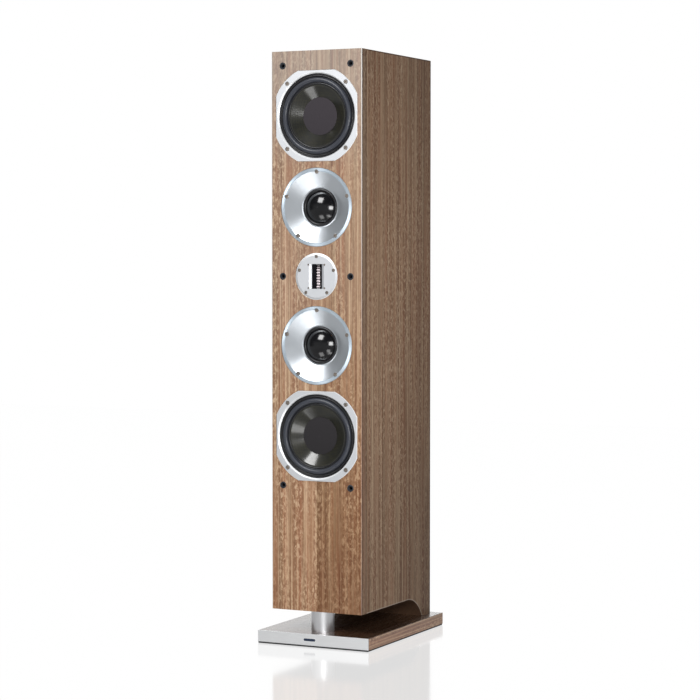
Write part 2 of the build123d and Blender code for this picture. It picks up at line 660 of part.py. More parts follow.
def tweeter_parts():
    back = PROUD - TWEETER_PLATE_T - GLUE_GAP
    ribbon_z = -RIBBON_DEPTH
    pole_half_gap = RIBBON_W / 2 + 0.5
    pole = Polyline(
        (pole_half_gap, ribbon_z - 4),
        (pole_half_gap, ribbon_z + 1.5),
        (SLOT_W / 2 - 0.4, back),
        (SLOT_W / 2 + 2, back),
        (SLOT_W / 2 + 2, ribbon_z - 4),
        close=True,
    )
    right = extrude(Plane.XZ * make_face(pole), SLOT_H / 2 + 2, both=True)
    poles = [right, mirror(right, Plane.YZ)]

    housing = Box(43, 60, 34)
    housing = Pos(0, 0, back - 17) * housing
    housing -= Pos(0, 0, (back + ribbon_z - 4) / 2) * Box(
        SLOT_W + 4.4, SLOT_H + 4.4, back - ribbon_z + 4 + 0.01
    )
    housing -= Pos(0, 0, ribbon_z - 8) * Box(RIBBON_W + 2, RIBBON_L, 9)
    for x, y in tweeter_clamp_places():
        housing -= rod(1.2, back - 12, back + 1, x, y)

    quarter = RIBBON_PITCH / 4
    crest = [(-RIBBON_L / 2, 0.0)]
    for i in range(RIBBON_PLEATS):
        start = -RIBBON_L / 2 + i * RIBBON_PITCH
        crest += [(start + quarter, 0.9), (start + 3 * quarter, -0.9), (start + 4 * quarter, 0.0)]
    under = [(y, z - 0.12) for y, z in reversed(crest)]
    pleats = make_face(Polyline(*crest, *under, close=True))
    ribbon = extrude(Plane.YZ * pleats, RIBBON_W / 2, both=True)
    ribbon = Pos(0, 0, ribbon_z) * ribbon

    clamps = []
    for side in (-1, 1):
        y = side * (RIBBON_L / 2 + 1.4)
        clamps.append(Pos(0, y, ribbon_z - 1) * Box(RIBBON_W, 2.0, 5))
    return poles, housing, ribbon, clamps


def tweeter():
    place = front(TWEETER_Z)
    poles, housing, ribbon, clamps = tweeter_parts()
    keep("tweeter_faceplate", place * tweeter_faceplate())
    keep("tweeter_magnet_poles", *[place * p for p in poles])
    keep("tweeter_housing", place * housing)
    keep("tweeter_ribbon", place * ribbon)
    keep("tweeter_ribbon_clamps", *[place * c for c in clamps])


# ---------------------------------------------------------------- terminals and crossover
def post_places():
    """The two binding posts, as name: x."""
    return {"plus": POST_X, "minus": -POST_X}


def terminal_screw_places():
    x, y = FLANGE_W / 2 - 6.5, FLANGE_H / 2 - 6.5
    return [(i * x, j * y) for i in (-1, 1) for j in (-1, 1)]


def terminal_cup():
    """Moulded tray let into the back panel, with its flange outside."""
    floor = -CUP_DEPTH
    cup = Pos(0, 0, FLANGE_T / 2) * Box(FLANGE_W, FLANGE_H, FLANGE_T)
    cup = fillet(cup.edges().filter_by(Axis.Z), 8)
    cup = chamfer(cup.edges().group_by(Axis.Z)[-1], 0.8)
    tray_h = CUP_DEPTH + CUP_WALL
    tray = Pos(0, 0, -tray_h / 2) * Box(CUP_W, CUP_H, tray_h)
    cup += fillet(tray.edges().filter_by(Axis.Z), 6)
    hollow = Box(CUP_W - 2 * CUP_WALL, CUP_H - 2 * CUP_WALL, CUP_DEPTH + 10)
    hollow = Pos(0, 0, floor + (CUP_DEPTH + 10) / 2) * hollow
    cup -= fillet(hollow.edges().filter_by(Axis.Z), 3.5)
    for x, y in terminal_screw_places():
        cup -= rod(2.2, -1, 10, x, y) + rod(3.7, FLANGE_T - 2.6, 10, x, y)
    for x in post_places().values():
        cup -= rod(4.0, floor - 10, floor + 1, x, 0)
    return cup


def binding_post():
    """Threaded stud with its collar, a blind hole for a plug and a nut behind the tray."""
    floor = -CUP_DEPTH
    seat = floor + POST_COLLAR_T
    tip = seat + WASHER_T + KNOB_L - 1
    stud = rod(3.9, floor - 14, floor + 1) + rod(POST_COLLAR_R, floor, seat) + rod(STUD_R, seat, tip)
    stud += tube(3.5, 6.5, floor - CUP_WALL - 4, floor - CUP_WALL)
    return stud - rod(BANANA_R, tip - BANANA_DEPTH, tip + 1)


def terminal_knob(base):
    """Ribbed screw-down knob, open at its end for a plug."""
    bore = STUD_R + STUD_CLEARANCE
    knob = turned(
        (bore, base),
        (7.4, base),
        (KNOB_R, base + 1.6),
        (KNOB_R, base + KNOB_L - 1.2),
        (7.6, base + KNOB_L),
        (5.0, base + KNOB_L),
        (bore, base + KNOB_L - 1.2),
    )
    for x, y in on_circle(KNOB_R + 0.7, 12, 0):
        knob -= rod(1.3, base + 3.5, base + KNOB_L - 3.5, x, y)
    return knob


def terminals():
    seat = -CUP_DEPTH + POST_COLLAR_T
    posts = []
    for name, x in post_places().items():
        posts.append(rear(x, TERMINAL_Z) * binding_post())
        washer = tube(STUD_R + STUD_CLEARANCE, 6.8, seat, seat + WASHER_T)
        keep(f"clamp_washer_{name}", rear(x, TERMINAL_Z) * washer)
        keep(f"terminal_knob_{name}", rear(x, TERMINAL_Z) * terminal_knob(seat + WASHER_T))
    keep("terminal_cup", rear(0, TERMINAL_Z) * terminal_cup())
    keep("binding_posts", *posts)


BOARD_BOTTOM, BOARD_H, BOARD_HALF_W = CABINET_BOTTOM + 150, 200.0, 65.0
BOARD_Y = PARTITION_BACK_Y + 8  # the board stands on short pillars, clear of the partition


def crossover():
    board_face = BOARD_Y + 2
    low = BOARD_BOTTOM
    board = block(-BOARD_HALF_W, BOARD_HALF_W, BOARD_Y, board_face, low, low + BOARD_H)
    pillars = []
    for x in (-58, 58):
        for z in (low + 7, low + BOARD_H - 7):
            pillars.append(Pos(x, BOARD_Y - 4, z) * Rot(90, 0, 0) * Cylinder(4, 8))
    keep("crossover_board", board, *pillars)

    coils, capacitors = [], []
    for x, z, radius in ((-33, low + 45, 27), (33, low + 45, 24), (-33, low + 125, 22)):
        coil = tube(radius * 0.45, radius, 0, 24)
        coils.append(Pos(x, board_face, z) * Rot(-90, 0, 0) * coil)
    for z in (low + 100, low + 128, low + 156):
        can = Pos(35, board_face + 12 + GLUE_GAP, z) * Rot(0, 90, 0) * Cylinder(12, 46)
        capacitors.append(can)
    keep("crossover_coils", *coils)
    keep("crossover_capacitors", *capacitors)


def lead_places():
    """Where each driver's lead goes forward through the partition, as driver: (x, z)."""
    drivers = {"tweeter": TWEETER_Z}
    drivers |= {f"mid_{k}": z for k, z in MIDS.items()}
    drivers |= {f"woofer_{k}": z for k, z in WOOFERS.items()}
    rise, start, step = 20, -18, -7
    return {name: (start + i * step, z + rise) for i, (name, z) in enumerate(drivers.items())}


def lead(points):
    """A round insulated lead: straight runs joined by arcs."""
    path = FilletPolyline(*points, radius=LEAD_BEND_R)
    ring = Plane(path @ 0, z_dir=path % 0) * Circle(LEAD_R)
    return sweep(ring, path)


def wiring():
    """One lead from the crossover to each driver, and one from each binding post."""
    rear_ends = {"woofer": -90.2, "mid": -85.2, "tweeter": -38.6}
    up_y = BOARD_Y + 45
    top = BOARD_BOTTOM + BOARD_H - 14
    leads = []
    for name, (x, z) in lead_places().items():
        end_y = FRONT_Y - rear_ends[name.split("_")[0]] + GLUE_GAP
        start_y = BOARD_Y + 2 + GLUE_GAP
        leads.append(lead([(x, start_y, top), (x, up_y, top), (x, up_y, z), (x, end_y, z)]))
    for x in post_places().values():
        start_y = BACK_Y - CUP_DEPTH - 14 - GLUE_GAP
        end_y = BOARD_Y + 2 + GLUE_GAP
        joint_z = BOARD_BOTTOM + 7
        route = [(start_y, TERMINAL_Z), (20, TERMINAL_Z), (20, joint_z), (end_y, joint_z)]
        leads.append(lead([(x, y, z) for y, z in route]))
    keep("wiring_leads", *leads)


# ---------------------------------------------------------------- small screws shared by the plates
def plate_screws():
    screws = []
    screw = socket_screw(3.4, 2.6, 1.7, 19.0, 1.9)
    wide = socket_screw(4.1, 2.6, 1.7, 19.0, 2.2)
    for z in MIDS.values():
        for x, y in on_circle(MID_SCREW_R, 5, 90):
            screws.append(front(z) * Pos(x, y, PROUD - 0.8) * wide)
    for x, y in on_circle(TWEETER_SCREW_R, 5, 90):
        screws.append(front(TWEETER_Z) * Pos(x, y, PROUD - 0.5) * screw)
    for x, y in terminal_screw_places():
        screws.append(rear(0, TERMINAL_Z) * Pos(x, y, FLANGE_T) * screw)
    tiny = socket_screw(2.0, 1.6, 1.1, 13.0, 1.1)
    for x, y in tweeter_clamp_places():
        screws.append(front(TWEETER_Z) * Pos(x, y, PROUD - 0.4) * tiny)
    keep("plate_screws", *screws)


def main():
    for section in (
        cabinet,
        bracing,
        plinth,
        grille_sockets,
        bass_units,
        midranges,
        tweeter,
        terminals,
        crossover,
        wiring,
        plate_screws,
    ):
        section()
    os.makedirs("parts", exist_ok=True)
    for name, shape in MADE.items():
        export_step(shape, f"parts/{name}.step")
    print(len(MADE), "nodes")


main()
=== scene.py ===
import json
import math

import bmesh
import bpy
import numpy as np
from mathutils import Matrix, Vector

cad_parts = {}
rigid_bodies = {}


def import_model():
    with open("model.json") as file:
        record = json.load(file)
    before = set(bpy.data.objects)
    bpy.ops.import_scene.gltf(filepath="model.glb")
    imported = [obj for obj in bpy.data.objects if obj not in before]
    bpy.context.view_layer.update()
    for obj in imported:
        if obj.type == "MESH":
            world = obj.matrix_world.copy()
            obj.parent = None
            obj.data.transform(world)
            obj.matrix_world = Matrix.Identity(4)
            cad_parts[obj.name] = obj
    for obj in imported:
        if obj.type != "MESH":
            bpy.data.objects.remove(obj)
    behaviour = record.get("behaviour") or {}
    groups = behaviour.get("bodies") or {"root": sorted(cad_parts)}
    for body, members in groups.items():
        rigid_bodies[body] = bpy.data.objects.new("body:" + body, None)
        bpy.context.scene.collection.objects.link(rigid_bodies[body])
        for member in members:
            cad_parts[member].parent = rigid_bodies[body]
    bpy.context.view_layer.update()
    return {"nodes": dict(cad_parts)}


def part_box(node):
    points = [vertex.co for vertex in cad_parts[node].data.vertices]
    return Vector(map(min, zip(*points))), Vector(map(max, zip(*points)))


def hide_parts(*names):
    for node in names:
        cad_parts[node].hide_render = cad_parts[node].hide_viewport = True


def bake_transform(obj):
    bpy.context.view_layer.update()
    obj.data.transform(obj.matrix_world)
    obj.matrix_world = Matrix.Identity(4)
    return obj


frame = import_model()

# ---------------------------------------------------------------- places read from the frame
BAFFLE_LOW, BAFFLE_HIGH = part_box("front_baffle")
FRONT_Y = BAFFLE_LOW.y
CABINET_TOP, CABINET_BOTTOM = BAFFLE_HIGH.z, BAFFLE_LOW.z
CABINET_BACK_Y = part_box("back_panel")[1].y
FOOT_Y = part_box("rear_foot")[0].y


def middle(node):
    """Centre of a CAD node's box."""
    low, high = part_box(node)
    return (low + high) / 2


WOOFERS = {name: middle(f"woofer_{name}_chassis").z for name in ("upper", "lower")}
MIDS = {name: middle(f"mid_{name}_faceplate").z for name in ("upper", "lower")}
TWEETER_Z = middle("tweeter_faceplate").z
MM = 0.001

# the drivers' sizes, in millimetres: radii, apart from the distance between a plate's flats
ROLL_INNER, ROLL_OUTER = 71.2, 82.0
DOME_EDGE, THROAT = 34.0, 40.4
BEVEL_R, PLATE_R, PLATE_FLATS = 93.7, 106.3, 194.0
HORN_RIM_R, TWEETER_R = 77.0, 50.0

FOOT_ARC = 90 * MM  # radius of the curve between the cabinet's underside and its rear foot


# ---------------------------------------------------------------- node trees
class Nodes:
    """The node tree of a material or a world, emptied and built one node at a time."""

    def __init__(self, owner):
        owner.use_nodes = True
        self.tree = owner.node_tree
        self.tree.nodes.clear()

    def node(self, kind, inputs=(), **settings):
        """A new node, with its inputs by name or number and its settings by name."""
        made = self.tree.nodes.new(kind)
        for key, value in settings.items():
            setattr(made, key, value)
        for key, value in dict(inputs).items():
            self.feed(made.inputs[key], value)
        return made

    def link(self, source, target):
        self.tree.links.new(source, target)

    def feed(self, socket, value):
        """Links a socket's value, or sets it where the value is a plain one."""
        if isinstance(value, bpy.types.NodeSocket):
            self.link(value, socket)
        else:
            socket.default_value = value


class Graph(Nodes):
    """A material with one main shader, and the patterns that feed it."""

    def __init__(self, name):
        self.material = bpy.data.materials.new(name)
        super().__init__(self.material)
        self.shader = self.node("ShaderNodeBsdfPrincipled")
        self.node("ShaderNodeOutputMaterial", {"Surface": self.shader.outputs[0]})

    def surface(self, **values):
        """Sets or links the shader's own sockets, with _ for a space."""
        for key, value in values.items():
            self.feed(self.shader.inputs[key.replace("_", " ")], value)

    def place(self, scale=(1, 1, 1), offset=(0, 0, 0), turn=(0, 0, 0)):
        """Object coordinates in metres, moved, turned and stretched."""
        coordinates = self.node("ShaderNodeTexCoord").outputs["Object"]
        values = {"Vector": coordinates, "Location": offset, "Rotation": turn, "Scale": scale}
        return self.node("ShaderNodeMapping", values).outputs[0]

    def noise(self, vector, scale=1.0, detail=2.0, roughness=0.5, distortion=0.0):
        """Noise from 0 to 1, with about scale patches to a unit of the vector."""
        values = {"Vector": vector, "Scale": scale, "Detail": detail, "Roughness": roughness}
        values["Distortion"] = distortion
        return self.node("ShaderNodeTexNoise", values).outputs["Fac"]

    def ramp(self, factor, *stops):
        """A colour ramp through (position, grey or colour) stops."""
        made = self.node("ShaderNodeValToRGB", {"Fac": factor})
        elements = made.color_ramp.elements
        while len(elements) < len(stops):
            elements.new(0.5)
        for element, (position, value) in zip(elements, stops):
            grey = isinstance(value, (int, float))
            element.position = position
            element.color = (value, value, value, 1) if grey else (*value, 1)
        return made.outputs["Color"]

    def mix(self, factor, first, second, blend_type="MIX"):
        made = self.node("ShaderNodeMix", data_type="RGBA", blend_type=blend_type)
        self.feed(made.inputs[0], factor)
        self.feed(made.inputs[6], (*first, 1) if isinstance(first, tuple) else first)
        self.feed(made.inputs[7], (*second, 1) if isinstance(second, tuple) else second)
        return made.outputs[2]

    def math(self, operation, *values):
        made = self.node("ShaderNodeMath", operation=operation)
        for socket, value in zip(made.inputs, values):
            self.feed(socket, value)
        return made.outputs[0]

    def bump(self, height, strength, distance):
        """Fine relief, distance metres deep."""
        values = {"Height": height, "Strength": strength, "Distance": distance}
        self.surface(Normal=self.node("ShaderNodeBump", values).outputs[0])

    def part(self, coordinates, axis):
        """One axis of the object's coordinates or of its normals."""
        vector = self.node("ShaderNodeTexCoord").outputs[coordinates]
        return self.node("ShaderNodeSeparateXYZ", {0: vector}).outputs[axis]

    def radius(self, centre, axis="Y"):
        """Distance from a line through centre along axis."""
        keep = {"X": (0, 1, 1), "Y": (1, 0, 1), "Z": (1, 1, 0)}[axis]
        offset = tuple(-c * k for c, k in zip(centre, keep))
        vector = self.place(scale=keep, offset=offset)
        length = self.node("ShaderNodeVectorMath", {0: vector}, operation="LENGTH")
        return length.outputs["Value"]

    def turned_rings(self, centre, axis="Y"):
        """The fine rings that a lathe leaves about an axis."""
        along_radius = self.node("ShaderNodeCombineXYZ", {"X": self.radius(centre, axis)})
        return self.noise(along_radius.outputs[0], 2600, 3, 0.7)

    def stretch_round(self, axis, anisotropy):
        """Stretches highlights across the rings about an axis."""
        self.shader.inputs["Anisotropic"].default_value = anisotropy
        tangent = self.node("ShaderNodeTangent", direction_type="RADIAL", axis=axis)
        self.link(tangent.outputs[0], self.shader.inputs["Tangent"])


def linear(*display):
    """Linear colour from display values above 10, out of 255."""
    return tuple(((value / 255 + 0.055) / 1.055) ** 2.4 for value in display)


MATERIALS = {}


def material(make):
    """Keeps one copy of each material, by its maker and arguments."""

    def kept(*args):
        key = (make.__name__, *args)
        if key not in MATERIALS:
            MATERIALS[key] = make(*args)
        return MATERIALS[key]

    return kept


# ---------------------------------------------------------------- wood
WOOD_DARK = linear(136, 98, 73)
WOOD_MIDDLE = linear(161, 123, 94)
WOOD_PALE = linear(179, 144, 115)
WOOD_GREENISH = linear(147, 125, 98)
WOOD_REDDISH = linear(153, 102, 75)
WOOD_LINE = linear(202, 175, 146)
WOOD_VEIN = linear(114, 75, 53)
WOOD_PORE = linear(88, 57, 40)
# grey of the painted sheen on the front's upper part
PAINTED_SHEEN_GREY = (0.35, 0.36, 0.35)
# colour of the painted highlight on the front's edges
PAINTED_EDGE_HIGHLIGHT = (0.80, 0.78, 0.74)
DARK_LINE_COLOUR = linear(66, 42, 29)
BEAD_SLANT = math.radians(9)
DARK_LINE_DEPTH = 4 * MM  # depth of the dark lines at the front and back edges
TOP_DARK_LINE_DEPTH = 2.6 * MM


def grain_scale(along, across_per_m, along_per_m):
    """Stretch for a pattern that runs along one axis."""
    return tuple(along_per_m if axis == along else across_per_m for axis in "XYZ")


def veneer_colour(g, along, shift):
    """Walnut: broad bands, pale and dark lines, a beaded figure in patches and fine pores."""
    offset = (shift, shift * 0.7, shift * 1.3)
    bands = g.noise(g.place(grain_scale(along, 62, 0.8), offset), 1, 3, 0.55, 0.3)
    tint = g.noise(g.place(grain_scale(along, 85, 1.5), offset), 1, 2, 0.5)
    lines = g.noise(g.place(grain_scale(along, 210, 1.1), offset), 1, 3, 0.6, 0.25)
    slanted = g.place(grain_scale(along, 230, 110), offset, (0, BEAD_SLANT, 0))
    beads = g.noise(slanted, 1, 2, 0.6, 0.5)
    figured = g.noise(g.place(grain_scale(along, 60, 3.2), offset), 1, 1, 0.5)
    streaks = g.noise(g.place(grain_scale(along, 430, 3.5), offset), 1, 2, 0.6, 0.2)
    pores = g.noise(g.place(grain_scale(along, 900, 30), offset), 1, 2, 0.6)
    colour = g.ramp(bands, (0.34, WOOD_DARK), (0.5, WOOD_MIDDLE), (0.66, WOOD_PALE))
    colour = g.mix(g.ramp(tint, (0.45, 0.0), (0.68, 0.6)), colour, WOOD_GREENISH)
    colour = g.mix(g.ramp(tint, (0.32, 0.5), (0.46, 0.0)), colour, WOOD_REDDISH)
    colour = g.mix(g.ramp(lines, (0.55, 0.0), (0.65, 0.8)), colour, WOOD_LINE)
    colour = g.mix(g.ramp(lines, (0.35, 0.8), (0.44, 0.0)), colour, WOOD_VEIN)
    colour = g.mix(g.ramp(streaks, (0.52, 0.0), (0.7, 0.5)), colour, WOOD_VEIN)
    colour = g.mix(g.ramp(streaks, (0.32, 0.5), (0.48, 0.0)), colour, WOOD_LINE)
    patches = g.ramp(figured, (0.38, 0.15), (0.60, 0.75))
    pale_beads = g.math("MULTIPLY", g.ramp(beads, (0.52, 0.0), (0.64, 1.0)), patches)
    dark_beads = g.math("MULTIPLY", g.ramp(beads, (0.36, 0.8), (0.47, 0.0)), patches)
    colour = g.mix(pale_beads, colour, WOOD_LINE)
    colour = g.mix(dark_beads, colour, WOOD_VEIN)
    colour = g.mix(g.ramp(pores, (0.3, 0.45), (0.42, 0.0)), colour, WOOD_PORE)
    return colour, pores


def shaded(g, colour, shade):
    """The colour times a shade."""
    return g.mix(1.0, colour, shade, "MULTIPLY")


def front_painted_light(g, colour):
    """Painted sheen greys it towards the top and painted shade darkens the foot, more so right of
    the middle, and the side faces; a painted highlight runs up the edge, with a dark line behind
    it."""
    height = g.math("DIVIDE", g.part("Object", "Z"), CABINET_TOP)
    # painted shade on the baffle's side faces, like the sides beside them
    side = shaded(g, colour, (0.66, 0.66, 0.67))
    # painted sheen: greys the front towards the top, standing in for a reflection of the studio
    painted_sheen = g.ramp(height, (0.4, 0.0), (0.6, 0.09), (0.80, 0.09), (0.95, 0.38))
    colour = g.mix(painted_sheen, colour, PAINTED_SHEEN_GREY)
    # painted shade: darker towards the foot, and more so right of the middle
    colour = shaded(g, colour, g.ramp(height, (0.2, (0.95, 0.90, 0.86)), (0.4, 1.0)))
    low_painted_shade = g.ramp(
        height,
        (0.13, (0.64, 0.58, 0.52)),
        (0.2, (0.70, 0.65, 0.58)),
        (0.44, (0.85, 0.82, 0.77)),
        (0.9, 0.97),
    )
    right_half = g.math("GREATER_THAN", g.part("Object", "X"), 0.0)
    colour = g.mix(right_half, colour, shaded(g, colour, low_painted_shade))
    sideways = g.math("ABSOLUTE", g.part("Normal", "X"))
    # painted highlight up the rounded front edges, brighter towards the top
    edge = g.math("MULTIPLY", g.ramp(sideways, (0.3, 0.0), (0.5, 1.0)),
                  g.ramp(height, (0.5, 0.12), (0.92, 0.85)))
    colour = g.mix(edge, colour, PAINTED_EDGE_HIGHLIGHT)
    # a dark line just behind the front edge
    dark_line = g.math("LESS_THAN", g.part("Object", "Y"), FRONT_Y + DARK_LINE_DEPTH)
    # the side faces take the painted shade, with the dark line near the front
    round_side = g.math("GREATER_THAN", sideways, 0.9)
    return g.mix(round_side, colour, g.mix(dark_line, side, DARK_LINE_COLOUR))


def side_painted_light(g, colour):
    """Painted shade towards the back, top and foot and where it faces down; dark lines on its outer
    edges; a painted highlight along its lower edge.
    """
    along, height = g.part("Object", "Y"), g.part("Object", "Z")
    depth = g.math("DIVIDE", g.math("SUBTRACT", along, FRONT_Y), CABINET_BACK_Y - FRONT_Y)
    tall = g.math("DIVIDE", height, CABINET_TOP)
    # painted shade: darker towards the back, and by height towards the top and foot
    colour = shaded(g, colour, g.ramp(depth, (0.5, 1.0), (1.0, 0.76)))
    painted_shade_by_height = g.ramp(tall, (0.1, 0.76), (0.4, 0.9), (0.65, 0.98), (0.95, 0.84))
    colour = shaded(g, colour, painted_shade_by_height)
    # dark lines along the top and back edges of the side faces
    rim = g.math("MAXIMUM", g.math("GREATER_THAN", height, CABINET_TOP - TOP_DARK_LINE_DEPTH),
                 g.math("GREATER_THAN", along, CABINET_BACK_Y - DARK_LINE_DEPTH))
    rim = g.math("MULTIPLY", rim, g.math("LESS_THAN", g.part("Normal", "Z"), 0.5))
    colour = g.mix(g.math("MULTIPLY", rim, 0.65), colour, DARK_LINE_COLOUR)
    # a painted highlight along the lower edge: round the foot's curve, then level
    from_curve = g.radius((0, FOOT_Y, CABINET_BOTTOM - FOOT_ARC), "X")
    swept = g.math("MULTIPLY", g.math("LESS_THAN", from_curve, FOOT_ARC + 2.2 * MM),
                   g.math("GREATER_THAN", along, FOOT_Y))
    level = g.math("MULTIPLY", g.math("LESS_THAN", height, CABINET_BOTTOM + 2 * MM),
                   g.math("LESS_THAN", along, FOOT_Y))
    lower_edge_highlight = g.math("MULTIPLY", g.math("MAXIMUM", swept, level), 0.5)
    colour = g.mix(lower_edge_highlight, colour, (0.52, 0.45, 0.38))
    # painted shade on the faces that look down, under the cabinet
    under = g.math("LESS_THAN", g.part("Normal", "Z"), -0.05)
    return g.mix(under, colour, shaded(g, colour, (0.34, 0.24, 0.18)))


def top_leaf(g, colour):
    """Deeper on the end grain that shows at the back."""
    end_grain = g.math("GREATER_THAN", g.part("Normal", "Y"), 0.5)
    return g.mix(end_grain, colour, shaded(g, colour, (0.45, 0.42, 0.40)))


@material
def veneer(along, shift, tone_and_painted_light):
    """Satin lacquered veneer, toned over the cabinet by one of the functions above, which on the
    front and sides add painted light and shade.
    """
    g = Graph(f"veneer_{along}_{shift:g}")
    colour, pores = veneer_colour(g, along, shift)
    colour = tone_and_painted_light(g, colour)
    g.surface(Base_Color=colour, Roughness=g.ramp(pores, (0.3, 0.6), (0.6, 0.46)))
    g.shader.inputs["Specular IOR Level"].default_value = 0.25
    g.bump(pores, 0.25, 0.0003)
    return g.material


@material
def gloss_veneer(along, shift, top_painted_shade, edges_painted_light):
    """Veneer under a polished lacquer, with painted shade on top and painted light round the edges.
    """
    g = Graph(f"gloss_veneer_{along}")
    colour, pores = veneer_colour(g, along, shift)
    # painted shade on the top, painted light on the edges
    shade = g.ramp(g.part("Normal", "Z"), (0.4, edges_painted_light), (0.8, top_painted_shade))
    colour = shaded(g, colour, shade)
    g.surface(Base_Color=colour, Roughness=g.ramp(pores, (0.3, 0.5), (0.6, 0.4)))
    g.shader.inputs["Coat Weight"].default_value = 1.0
    g.shader.inputs["Coat Roughness"].default_value = 0.04
    g.bump(g.noise(g.place(), 9.0, 2, 0.5), 0.04, 0.002)
    return g.material


@material
def fibreboard(tone):
    """Raw board: fine fibres, a little mottled."""
    g = Graph(f"fibreboard_{tone:g}")
    fibres = g.noise(g.place(), 900, 4, 0.7)
    mottle = g.noise(g.place(), 14, 3, 0.5)
    pale = (0.42 * tone, 0.30 * tone, 0.19 * tone)
    dark = (0.27 * tone, 0.18 * tone, 0.11 * tone)
    colour = g.mix(g.ramp(fibres, (0.35, 0.0), (0.65, 1.0)), dark, pale)
    colour = g.mix(g.ramp(mottle, (0.3, 0.3), (0.7, 0.0)), colour, dark)
    g.surface(Base_Color=colour, Roughness=0.85)
    g.bump(fibres, 0.3, 0.0004)
    return g.material


# ---------------------------------------------------------------- metals
@material
def turned_metal(name, red, green, blue, roughness, centre, axis, anisotropy):
    """Metal turned on a lathe: fine rings about an axis, which stretch its highlights."""
    g = Graph(f"turned_{name}")
    rings = g.turned_rings(centre, axis)
    smudges = g.noise(g.place(), 30, 3, 0.6)
    colour = g.mix(g.ramp(rings, (0.35, 0.14), (0.65, 0.0)), (red, green, blue), (0.35, 0.36, 0.38))
    roughs = g.math("ADD", g.ramp(rings, (0.3, roughness), (0.7, roughness * 1.25)),
                    g.ramp(smudges, (0.45, 0.0), (0.75, 0.05)))
    g.surface(Base_Color=colour, Roughness=roughs, Metallic=1.0)
    g.stretch_round(axis, anisotropy)
    g.bump(rings, 0.06, 0.0001)
    return g.material


@material
def plate_metal(name, centre, bevel_r, plate_r, flats):
    """Painted silver plate; the machined bevel round its opening and its edges are unpainted metal,
    made whiter and less metallic as a painted highlight.
    """
    g = Graph(f"plate_{name}")
    grain = g.noise(g.place(), 1500, 4, 0.65)
    clouds = g.noise(g.place(), 22, 3, 0.5)
    paint = g.mix(g.ramp(clouds, (0.35, 0.1), (0.65, 0.0)), (0.77, 0.79, 0.82), (0.55, 0.56, 0.59))
    radius = g.radius(centre)
    inner = g.math("LESS_THAN", radius, bevel_r * MM)
    outer = g.math("GREATER_THAN", radius, (plate_r - 1) * MM)
    from_centre = g.place(offset=(-centre[0], 0, -centre[2]))
    across = g.node("ShaderNodeSeparateXYZ", {0: from_centre})
    reach = g.math("MAXIMUM", *(g.math("ABSOLUTE", across.outputs[axis]) for axis in "XZ"))
    flat = g.math("GREATER_THAN", reach, (flats / 2 - 1) * MM)
    # unpainted metal with a painted highlight: whiter and less metallic than bare metal would be
    bare_and_highlit = g.math("MAXIMUM", inner, g.math("MAXIMUM", outer, flat))
    g.surface(Base_Color=g.mix(bare_and_highlit, paint, (0.94, 0.96, 0.98)))
    g.surface(Metallic=g.math("MULTIPLY_ADD", bare_and_highlit, -0.40, 0.85))
    painted_rough = g.ramp(grain, (0.3, 0.45), (0.7, 0.58))
    g.surface(Roughness=g.math("ADD", g.math("MULTIPLY", bare_and_highlit, -0.12), painted_rough))
    g.bump(grain, 0.12, 0.0002)
    return g.material


@material
def horn_metal(name, centre):
    """Aluminium spun into a flare, which stretches highlights into rays, with a satin rim."""
    g = Graph(f"horn_{name}")
    rings = g.turned_rings(centre)
    smudges = g.noise(g.place(), 30, 3, 0.6)
    flare = g.mix(g.ramp(rings, (0.35, 0.14), (0.65, 0.0)), (0.66, 0.70, 0.74), (0.35, 0.37, 0.40))
    rim = g.math("GREATER_THAN", g.radius(centre), HORN_RIM_R * MM)
    rough = g.math("ADD", g.ramp(rings, (0.3, 0.28), (0.7, 0.33)),
                   g.ramp(smudges, (0.45, 0.0), (0.75, 0.05)))
    g.surface(Base_Color=g.mix(rim, flare, (0.66, 0.76, 0.85)), Metallic=0.8)
    g.surface(Roughness=g.math("ADD", rough, g.math("MULTIPLY", rim, 0.18)))
    g.stretch_round("Y", 0.88)
    g.bump(rings, 0.06, 0.0001)
    return g.material


@material
def brushed_metal(name, red, green, blue, roughness, along):
    """Linear brushing along one axis."""
    g = Graph(f"brushed_{name}")
    lines = g.noise(g.place(grain_scale(along, 3200, 30)), 1, 3, 0.7)
    clouds = g.noise(g.place(), 12, 2, 0.5)
    colour = g.mix(g.ramp(lines, (0.35, 0.12), (0.65, 0.0)), (red, green, blue), (0.4, 0.41, 0.43))
    roughs = g.math("ADD", g.ramp(lines, (0.3, roughness), (0.7, roughness * 1.3)),
                    g.ramp(clouds, (0.45, 0.0), (0.75, 0.04)))
    g.surface(Base_Color=colour, Roughness=roughs, Metallic=0.72)
    g.bump(lines, 0.08, 0.0001)
    return g.material


@material
def screw_metal(name, red, green, blue):
    """Burnished fastener steel with worn lighter spots."""
    g = Graph(f"screw_{name}")
    wear = g.noise(g.place(), 700, 4, 0.65)
    colour = g.ramp(wear, (0.35, (red * 0.5, green * 0.5, blue * 0.5)), (0.65, (red, green, blue)))
    g.surface(Base_Color=colour, Metallic=1.0, Roughness=g.ramp(wear, (0.3, 0.5), (0.7, 0.28)))
    g.bump(wear, 0.15, 0.0001)
    return g.material


